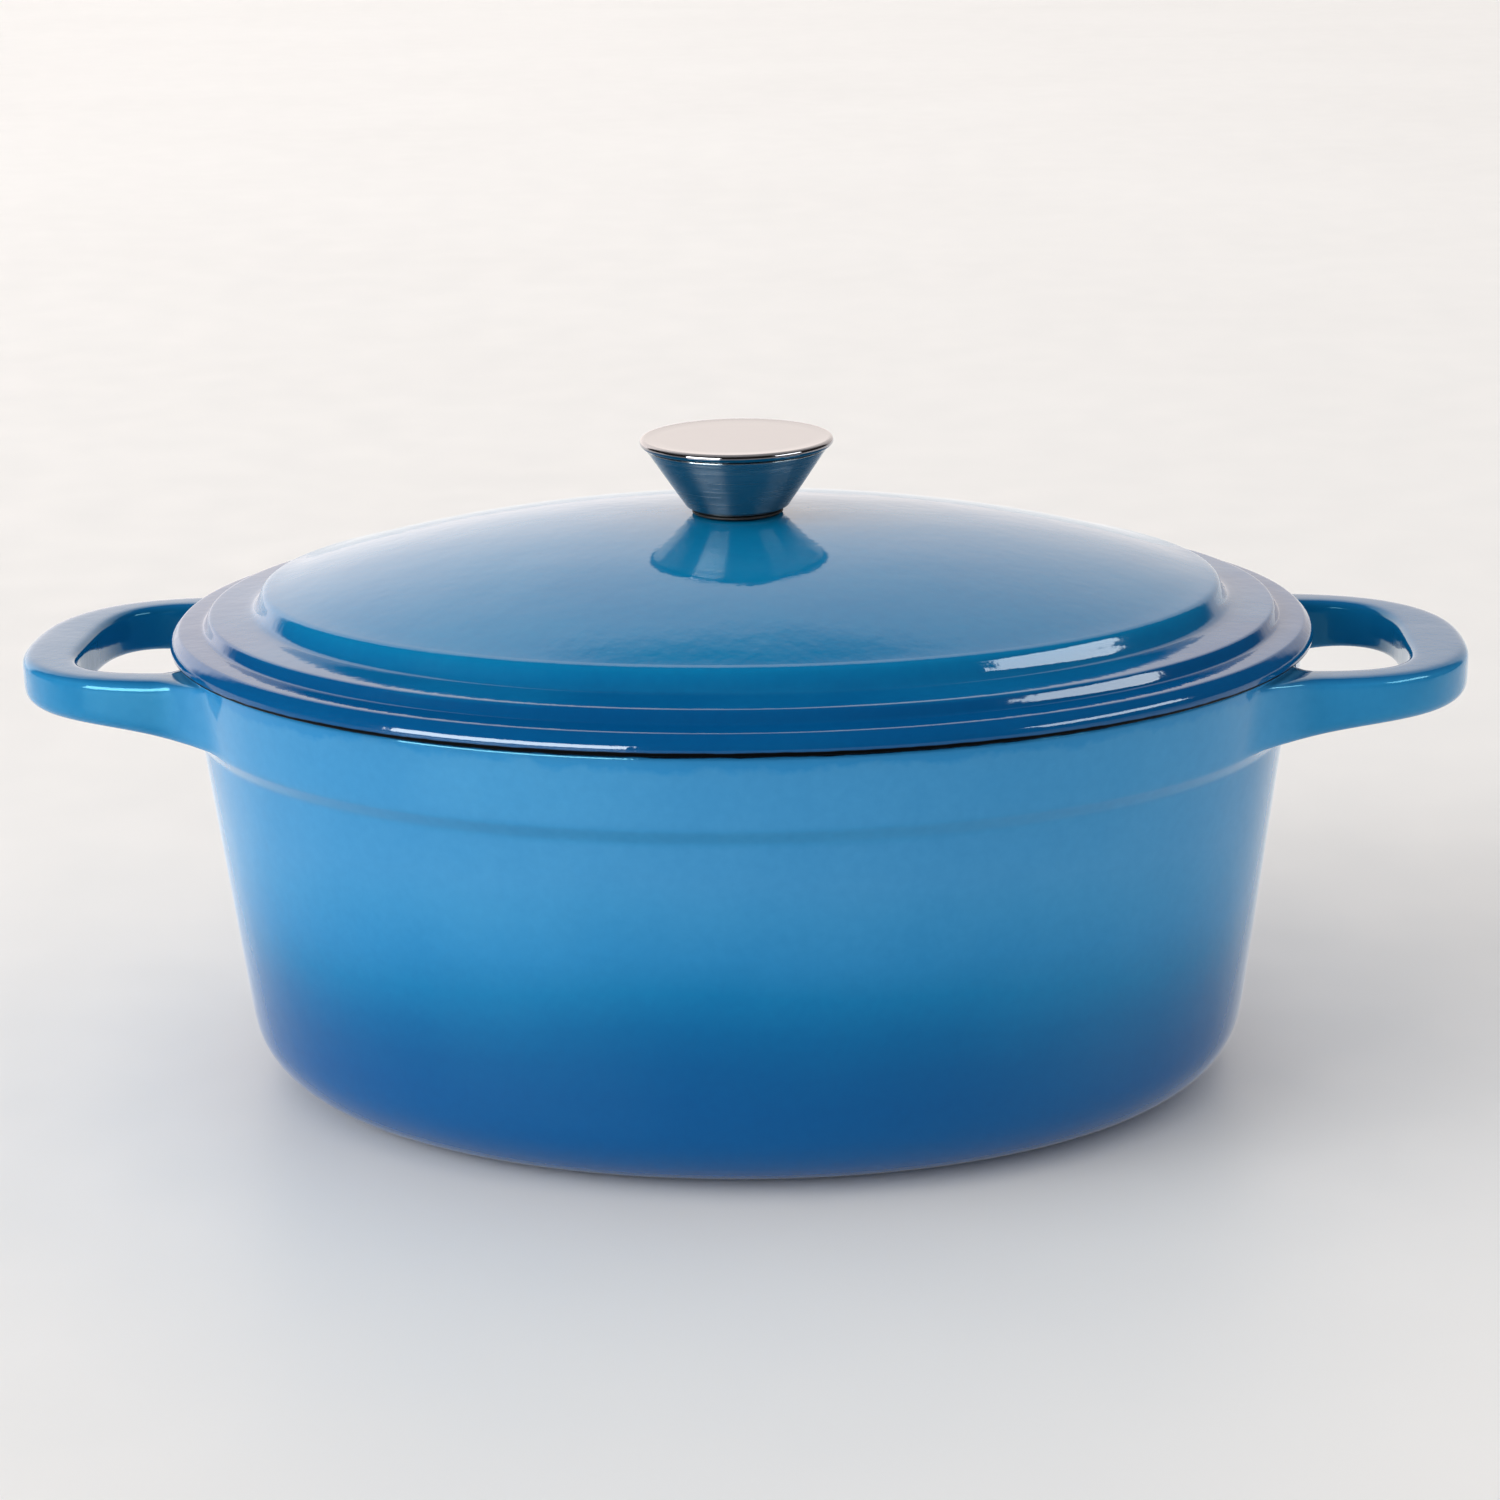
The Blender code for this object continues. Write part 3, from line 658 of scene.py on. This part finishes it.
def make_lid(outside, inside):
    bm = bmesh.new()
    angles = [2.0 * math.pi * i / 144 for i in range(144)]
    hole = DOME_TOP - LID_THICKNESS
    rings = []
    for radius in (SCREW_HOLE, 6.0, 9.0):
        rings.append(add_ring(bm, [(radius * math.cos(a), radius * math.sin(a), hole) for a in angles]))
    for share in (0.16, 0.26, 0.38, 0.50, 0.62, 0.74, 0.85):
        rings.append(dome_ring(bm, share, angles, LID_THICKNESS))
    rows, edge_start = lid_rows()
    inner_count = len(rings) + edge_start
    rings += [inset_ring(bm, inset, z, angles) for inset, z in rows]
    for share in (0.960, 0.92, 0.86, 0.79, 0.71, 0.63, 0.55, 0.47, 0.39, 0.31, 0.24, 0.17, 0.11, 0.05, 0.0):
        rings.append(dome_ring(bm, share, angles, 0.0))
    for index, (lower, upper) in enumerate(zip(rings, rings[1:])):
        join_rings(bm, lower, upper, 1 if index < inner_count - 1 else 0)
    join_rings(bm, rings[-1], rings[0], 1)
    return finish_mesh("lid_casting", bm, [outside, inside], 1)


# Knob --------------------------------------------------------------------------------------------

def make_cone(material):
    """A tapered cup: rounded lower edge, straight brushed side and a fine groove under its rim."""
    low, high = CONE_LOW.z / MM, CONE_HIGH.z / MM
    radius = CONE_HIGH.x / MM
    foot = 12.7
    lean = (radius - foot) / (high - low)

    def side(z, inset=0.0):
        return foot + lean * (z - low) - inset

    profile = rounded([(SCREW_HOLE, low, 0.0), (foot - 1.2, low, 0.3), (side(low + 0.9), low + 0.9, 0.8),
                       (side(high - 2.2), high - 2.2, 0.0), (side(high - 2.0, 0.05), high - 2.0, 0.0),
                       (side(high - 1.8), high - 1.8, 0.0), (side(high - 0.3), high - 0.3, 0.3),
                       (radius - 0.35, high, 0.2), (radius - 1.2, high, 0.0)], 4)
    floor = 2.4
    profile += [(foot + lean * floor - 2.0, low + floor), (SCREW_HOLE, low + floor)]
    return lathe("knob_cone_brushed", profile, 128, [material], True, 30.0)


def make_cap(material):
    """A mirror disc, very slightly dished, whose edge rolls over the cone's mouth."""
    low, high = CAP_LOW.z / MM, CAP_HIGH.z / MM
    radius = CAP_HIGH.x / MM
    roll = 1.05
    plug = CONE_HIGH.x / MM - 2.8
    under = CONE_HIGH.z / MM + GAP
    profile = [(0.5, low), (plug - 0.4, low), (plug, low + 0.4), (plug, under), (radius - roll - 0.4, under)]
    for k in range(13):
        angle = math.radians(-90.0 + 15.0 * k)
        profile.append((radius - roll + roll * math.cos(angle), high - roll + roll * math.sin(angle)))
    profile += [(radius - roll - 0.35, high - 0.02), (radius - roll - 0.8, high - 0.07), (20.0, high - 0.09),
                (14.0, high - 0.11), (7.0, high - 0.12), (0.5, high - 0.12)]
    return lathe("knob_cap_polished", profile, 128, [material], False, 50.0)


def make_gasket(material):
    low, high = GASKET_LOW.z / MM, GASKET_HIGH.z / MM
    radius = GASKET_HIGH.x / MM
    profile = rounded([(SCREW_HOLE, low, 0.0), (radius, low, 0.22), (radius, high, 0.22),
                       (SCREW_HOLE, high, 0.0)], 3)
    return lathe("knob_gasket_ring", profile, 96, [material], True, 60.0)


# Build -------------------------------------------------------------------------------------------

dish_blue = dish_enamel()
lid_blue = lid_enamel()
black = black_enamel()
brushed = brushed_steel()
polished = polished_steel()
plated = plated_steel()
rubber = silicone()

dish = make_dish(dish_blue, black)
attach(dish, "dish")
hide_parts("dish_body")

lid = make_lid(lid_blue, black)
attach(lid, "lid")
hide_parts("lid")

for piece, node, slot in ((make_cone(brushed), "knob_cone", "brushed_stainless"),
                          (make_cap(polished), "knob_cap", "polished_stainless"),
                          (make_gasket(rubber), "knob_gasket", "silicone")):
    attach(piece, "lid")
    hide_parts(node)

for node in ("knob_insert", "knob_screw", "screw_washer"):
    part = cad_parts[node]
    part.data.materials.clear()
    part.data.materials.append(plated)


# Floor, light and camera -------------------------------------------------------------------------

FLOOR_RADIUS = 14.0      # metres, as are the lights' sizes below
FLOOR_DROP = 0.0002      # keeps the floor from touching the base


def make_floor():
    bm = bmesh.new()
    bmesh.ops.create_circle(bm, cap_ends=True, cap_tris=False, segments=96, radius=FLOOR_RADIUS)
    floor = finish_mesh("floor", bm, [pale_floor()])
    floor.location.z = DISH_LOW.z - FLOOR_DROP


def add_lamp(name, data, azimuth, elevation, distance=0.0):
    """A lamp that faces the lid. Azimuth 0 is in front, on -Y, and turns towards +X."""
    a, e = math.radians(azimuth), math.radians(elevation)
    target = Vector((0.0, 0.0, 0.12))
    back = Vector((math.sin(a) * math.cos(e), -math.cos(a) * math.cos(e), math.sin(e)))
    lamp = bpy.data.objects.new(name, data)
    lamp.location = target + back * distance
    lamp.rotation_mode = "QUATERNION"
    lamp.rotation_quaternion = (-back).to_track_quat("-Z", "Y")
    lamp.visible_camera = False
    bpy.context.scene.collection.objects.link(lamp)
    return lamp


def soft_box(name, azimuth, elevation, distance, width, height, radiance):
    """A rectangular light that shows only in reflections."""
    data = bpy.data.lights.new(name, "AREA")
    data.shape = "RECTANGLE"
    data.size = width
    data.size_y = height
    data.energy = radiance * math.pi * width * height
    add_lamp(name, data, azimuth, elevation, distance).visible_diffuse = False


def window_light(azimuth, elevation, angle, strength, colour):
    """Half of a far window: even over the whole floor, and seen in no reflection."""
    data = bpy.data.lights.new("window", "SUN")
    data.angle = math.radians(angle)
    data.energy = strength
    data.color = colour
    add_lamp("window", data, azimuth, elevation).visible_glossy = False


def studio_world():
    """Even pale surroundings, but reflections see a bright backdrop behind and a dark room in front."""
    world = bpy.data.worlds.new("studio")
    bpy.context.scene.world = world
    world.use_nodes = True
    world.node_tree.nodes.clear()
    g = Graph(world.node_tree)
    split = g.node("ShaderNodeSeparateXYZ")
    g.feed(split.inputs[0], g.node("ShaderNodeTexCoord").outputs["Generated"])
    x, y, z = split.outputs
    even = g.node("ShaderNodeBackground")
    g.feed(even.inputs[0], (0.92, 0.915, 0.91, 1.0))
    g.feed(even.inputs[1], 0.87)
    level = g.math("SQRT", g.math("SUBTRACT", 1.0001, g.math("MULTIPLY", z, z)))
    facing = g.math("DIVIDE", g.math("SUBTRACT", y, g.math("MULTIPLY", x, 0.10)), level)
    behind = g.span(facing, 0.60, 0.74, 0.0, 1.0, True)
    below = g.span(z, 0.74, 0.86, 1.0, 0.0, True)
    sideways = g.span(x, -0.80, 0.80, 2.15, 0.70)
    fade = g.span(z, 0.45, 0.76, 1.0, 0.80)
    panel = g.math("MULTIPLY", g.math("MULTIPLY", behind, below), g.math("MULTIPLY", sideways, fade))
    seen = g.node("ShaderNodeBackground")
    g.feed(seen.inputs[0], (1.0, 0.90, 0.84, 1.0))
    g.feed(seen.inputs[1], g.math("ADD", panel, 0.03))
    choose = g.node("ShaderNodeMixShader")
    g.feed(choose.inputs[0], g.node("ShaderNodeLightPath").outputs["Is Glossy Ray"])
    g.feed(choose.inputs[1], even.outputs[0])
    g.feed(choose.inputs[2], seen.outputs[0])
    g.feed(g.node("ShaderNodeOutputWorld").inputs[0], choose.outputs[0])


def make_camera():
    """The photograph's view: low and in front, turned a few degrees to the right of the middle.

    Distances are in half-lengths of the lid, and angles in radians.
    """
    unit = HALF_LENGTH * MM
    pitch, yaw, roll = 0.2901, 0.0573, -0.0171
    across = Vector((math.cos(yaw), math.sin(yaw), 0.0))
    ahead = Vector((-math.sin(yaw), math.cos(yaw), 0.0))
    up = Vector((0.0, 0.0, 1.0))
    distance = 5.8161
    aim_across, aim_height = 0.0143, 0.5732
    place = (across * aim_across - ahead * distance * math.cos(pitch)
             + up * (aim_height + distance * math.sin(pitch))) * unit
    level_up = ahead * math.sin(pitch) + up * math.cos(pitch)
    right = across * math.cos(roll) + level_up * math.sin(roll)
    top = level_up * math.cos(roll) - across * math.sin(roll)
    back = right.cross(top)
    data = bpy.data.cameras.new("camera")
    data.sensor_width = 36.0
    data.lens = 78.2
    camera = bpy.data.objects.new("camera", data)
    camera.matrix_world = Matrix(((right.x, top.x, back.x, place.x), (right.y, top.y, back.y, place.y),
                                  (right.z, top.z, back.z, place.z), (0.0, 0.0, 0.0, 1.0)))
    bpy.context.scene.collection.objects.link(camera)
    bpy.context.scene.camera = camera


make_floor()
for azimuth in (-77.0, -57.0):
    window_light(azimuth, 20.0, 40.0, 1.02, (1.0, 0.985, 0.94))
soft_box("left_strip", -37.0, 11.0, 1.7, 1.25, 0.62, 14.0)
soft_box("right_box", 70.0, 26.5, 1.7, 1.02, 0.36, 8.0)
studio_world()
make_camera()
bpy.context.scene.view_settings.view_transform = "Standard"
bpy.context.scene.view_settings.look = "None"
